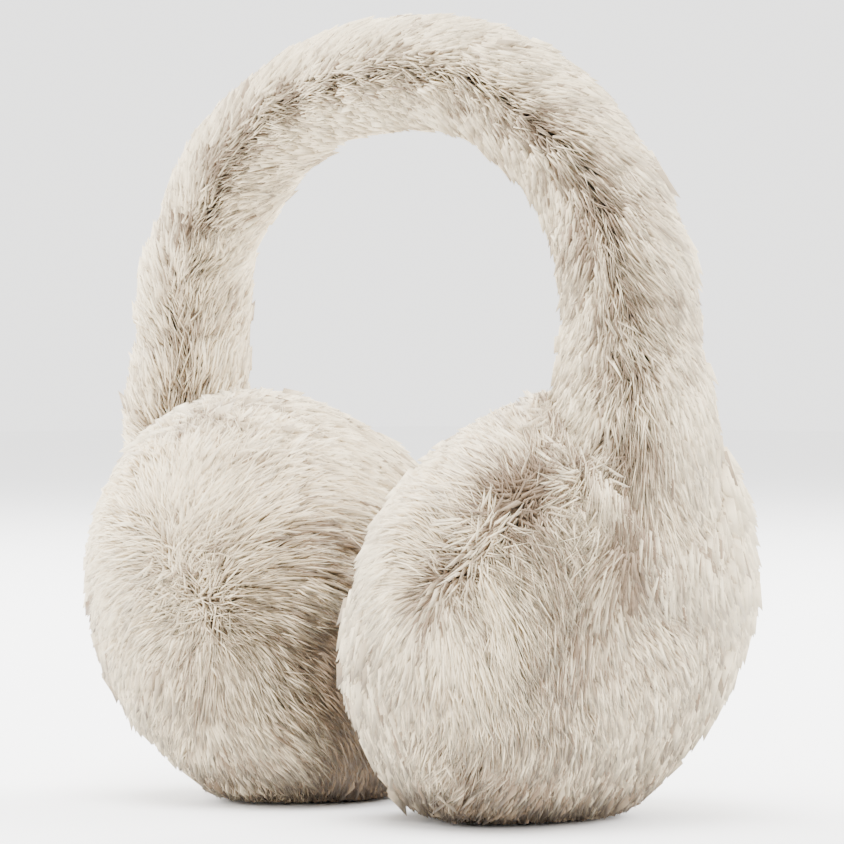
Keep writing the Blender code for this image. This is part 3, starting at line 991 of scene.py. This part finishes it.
# %% All the coats
coats = {
    "right_ear_cup": [cup_coat("right_ear_cup", "left_ear_cup", kind, 100) for kind in HAIRS],
    "left_ear_cup": [cup_coat("left_ear_cup", "right_ear_cup", kind, 200) for kind in HAIRS],
    "headband": [band_coat(kind, 300) for kind in HAIRS],
}
for pieces in coats.values():
    for piece in pieces:
        print(piece.name, len(piece.data.polygons), "faces")
print("coats made in", round(time.time() - began, 1), "s")

# %% [markdown]
# ## Shader maths as Python
# A material is a formula. Wrapping a socket in a small class lets the formula be written as
# one, and each sign in it adds its Math node.

# %% Node maths
class Socket:
    """A node's output that can be added, taken away and multiplied, and can start new nodes."""

    def __init__(self, tree, socket):
        self.tree = tree
        self.socket = socket

    def node(self, kind, inputs, output=0, **settings):
        """Adds a node of this type, sets it up, and sets or links its inputs by name or number."""
        node = self.tree.nodes.new(kind)
        for key, value in settings.items():
            setattr(node, key, value)
        for key, value in inputs.items():
            if isinstance(value, Socket):
                self.tree.links.new(value.socket, node.inputs[key])
            else:
                node.inputs[key].default_value = value
        return Socket(self.tree, node.outputs[output])

    def maths(self, operation, first, second):
        """One Math node on two sockets or numbers."""
        return self.node("ShaderNodeMath", {0: first, 1: second}, operation=operation)

    def __add__(self, other):
        return self.maths("ADD", self, other)

    def __sub__(self, other):
        return self.maths("SUBTRACT", self, other)

    def __rsub__(self, other):
        return self.maths("SUBTRACT", other, self)

    def __mul__(self, other):
        return self.maths("MULTIPLY", self, other)

    __radd__ = __add__
    __rmul__ = __mul__

    def smooth(self, low, high):
        """0 below low to 1 above high, eased at both ends."""
        inputs = {"Value": self, "From Min": low, "From Max": high}
        return self.node("ShaderNodeMapRange", inputs, interpolation_type="SMOOTHSTEP")

    def mix(self, low, high):
        """The colour low where this is 0, and high where it is 1."""
        inputs = {"Factor": self, 6: low, 7: high}
        return self.node("ShaderNodeMix", inputs, output=2, data_type="RGBA")

    def noise(self, scale, detail, roughness):
        """Noise of 0 to 1 with about scale lumps to a metre, where this is a place."""
        inputs = {"Vector": self, "Scale": scale, "Detail": detail, "Roughness": roughness}
        return self.node("ShaderNodeTexNoise", inputs)


def new_material(name, pieces):
    """A new material on these pieces, all of this slot: its node tree and its shader node."""
    material = bpy.data.materials.new(name)
    material.use_nodes = True
    tree = material.node_tree
    shader = tree.nodes["Principled BSDF"]
    for piece in pieces:
        piece.data.materials.append(material)
    return tree, shader


def feed(tree, shader, **inputs):
    """Links or sets the shader's inputs, whose names have _ for a space."""
    for key, value in inputs.items():
        place = shader.inputs[key.replace("_", " ")]
        if isinstance(value, Socket):
            tree.links.new(value.socket, place)
        else:
            place.default_value = value


# %% [markdown]
# ## The colour of the fur
# The fur is a warm ivory. Its greying in the depth of the pile is painted shade: a strand is brown-grey
# at its root, where little light reaches, and light at its tip, and no two are quite the
# same. The strand's own UV map carries both: across is its tone, upwards is root to tip.

# %% Fur material
# ROOT_COLOUR is painted shade for the depth of the pile; SHADE_COLOUR is the dark end of the tone, partly
# the fur's own uneven colour and partly painted shade
ROOT_COLOUR = (0.37, 0.275, 0.19, 1.0)
SHADE_COLOUR = (0.26, 0.185, 0.12, 1.0)
TIP_COLOUR = (0.91, 0.785, 0.56, 1.0)


def hair_material(name, pieces):
    """Base colour is root to (shade to tip by tone) by the share of the way up the strand."""
    tree, shader = new_material(name, pieces)
    start = Socket(tree, None)
    place = start.node("ShaderNodeUVMap", {}, uv_map="OFBake")
    tone = place.node("ShaderNodeSeparateXYZ", {"Vector": place}, output=0)
    up = place.node("ShaderNodeSeparateXYZ", {"Vector": place}, output=1)
    body = tone.smooth(0.05, 0.95).mix(SHADE_COLOUR, TIP_COLOUR)
    # darker towards the root: painted shade for the depth of the pile
    colour = up.smooth(0.0, 0.62).mix(ROOT_COLOUR, body)
    feed(tree, shader, Base_Color=colour, Roughness=0.78 - 0.20 * up, Specular_IOR_Level=0.35)
    feed(tree, shader, Sheen_Weight=0.12, Sheen_Roughness=0.45)


def hide_material(name, pieces):
    """Matted root-coloured pile: fine noise over broad noise for colour, and as bump."""
    tree, shader = new_material(name, pieces)
    start = Socket(tree, None)
    place = start.node("ShaderNodeTexCoord", {}, output=3)
    fine = place.noise(900.0, 4.0, 0.62)
    broad = place.noise(70.0, 3.0, 0.5)
    # the hide takes the root and shade colours, painted shade for the depth of the pile
    colour = (0.6 * fine + 0.4 * broad).smooth(0.30, 0.72).mix(ROOT_COLOUR, SHADE_COLOUR)
    bump = place.node("ShaderNodeBump", {"Height": fine, "Strength": 0.8, "Distance": 0.0006})
    feed(tree, shader, Base_Color=colour, Normal=bump, Roughness=0.9, Specular_IOR_Level=0.2)


for name, hide in hides.items():
    hair_material(f"{name}_fur", coats[name])
    hide_material(f"{name}_backing", [hide])

# %% [markdown]
# ## Joining the frame
# Each hide stands for its CAD solid, and the strands ride with it on the one body.

# %% Ride and replace
for name, hide in hides.items():
    for piece in [hide, *coats[name]]:
        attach(piece, "root")
    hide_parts(name)
print("pieces:", len(hides) + sum(len(pieces) for pieces in coats.values()))

# %% [markdown]
# ## Floor and light
# A plain pale floor and a pale room. Wide soft lamps stand to the left and behind to the
# right, so that the fur glows along its edges, and a smaller one hangs above. The pale world
# lifts the shadows, as white walls do in a studio.

# %% Floor
FLOOR_HALF = 6.0


def add_floor():
    """A square floor at height 0 with a faintly uneven pale paint."""
    points = np.array([[-1, -1, 0], [1, -1, 0], [1, 1, 0], [-1, 1, 0]]) * FLOOR_HALF
    floor = mesh_piece("floor", points, [[0, 1, 2, 3]])
    material = bpy.data.materials.new("pale_floor")
    material.use_nodes = True
    shader = material.node_tree.nodes["Principled BSDF"]
    place = Socket(material.node_tree, None).node("ShaderNodeTexCoord", {}, output=3)
    tint = place.noise(3.0, 2.0, 0.5).mix((0.93, 0.93, 0.93, 1.0), (0.95, 0.95, 0.95, 1.0))
    feed(material.node_tree, shader, Base_Color=tint, Roughness=0.9, Specular_IOR_Level=0.1)
    floor.data.materials.append(material)


add_floor()

# %% Light
LAMPS = (
    # name, place, size, watts
    ("left_lamp", (-2.1, -0.3, 1.1), 1.6, 165.0),
    ("right_lamp", (0.5, 2.1, 1.1), 1.6, 190.0),
    ("top_lamp", (0.3, -0.6, 2.0), 1.2, 95.0),
)
WORLD_COLOUR = (1.0, 0.995, 0.985, 1.0)
WORLD_STRENGTH = 2.6
LAMP_AIM = np.array([0.0, 0.0, 0.10])


def add_lamp(name, place, size, watts):
    """A square soft lamp that faces the middle of the earmuffs."""
    data = bpy.data.lights.new(name, "AREA")
    data.energy = watts
    data.size = size
    lamp = bpy.data.objects.new(name, data)
    way = unit(LAMP_AIM - np.array(place))
    lamp.location = place
    lamp.rotation_euler = (math.acos(-way[2]), 0.0, math.atan2(way[1], way[0]) - math.pi / 2)
    bpy.context.scene.collection.objects.link(lamp)


for lamp in LAMPS:
    add_lamp(*lamp)
world = bpy.data.worlds.new("pale_room")
bpy.context.scene.world = world
world.use_nodes = True
world.node_tree.nodes["Background"].inputs["Color"].default_value = WORLD_COLOUR
world.node_tree.nodes["Background"].inputs["Strength"].default_value = WORLD_STRENGTH
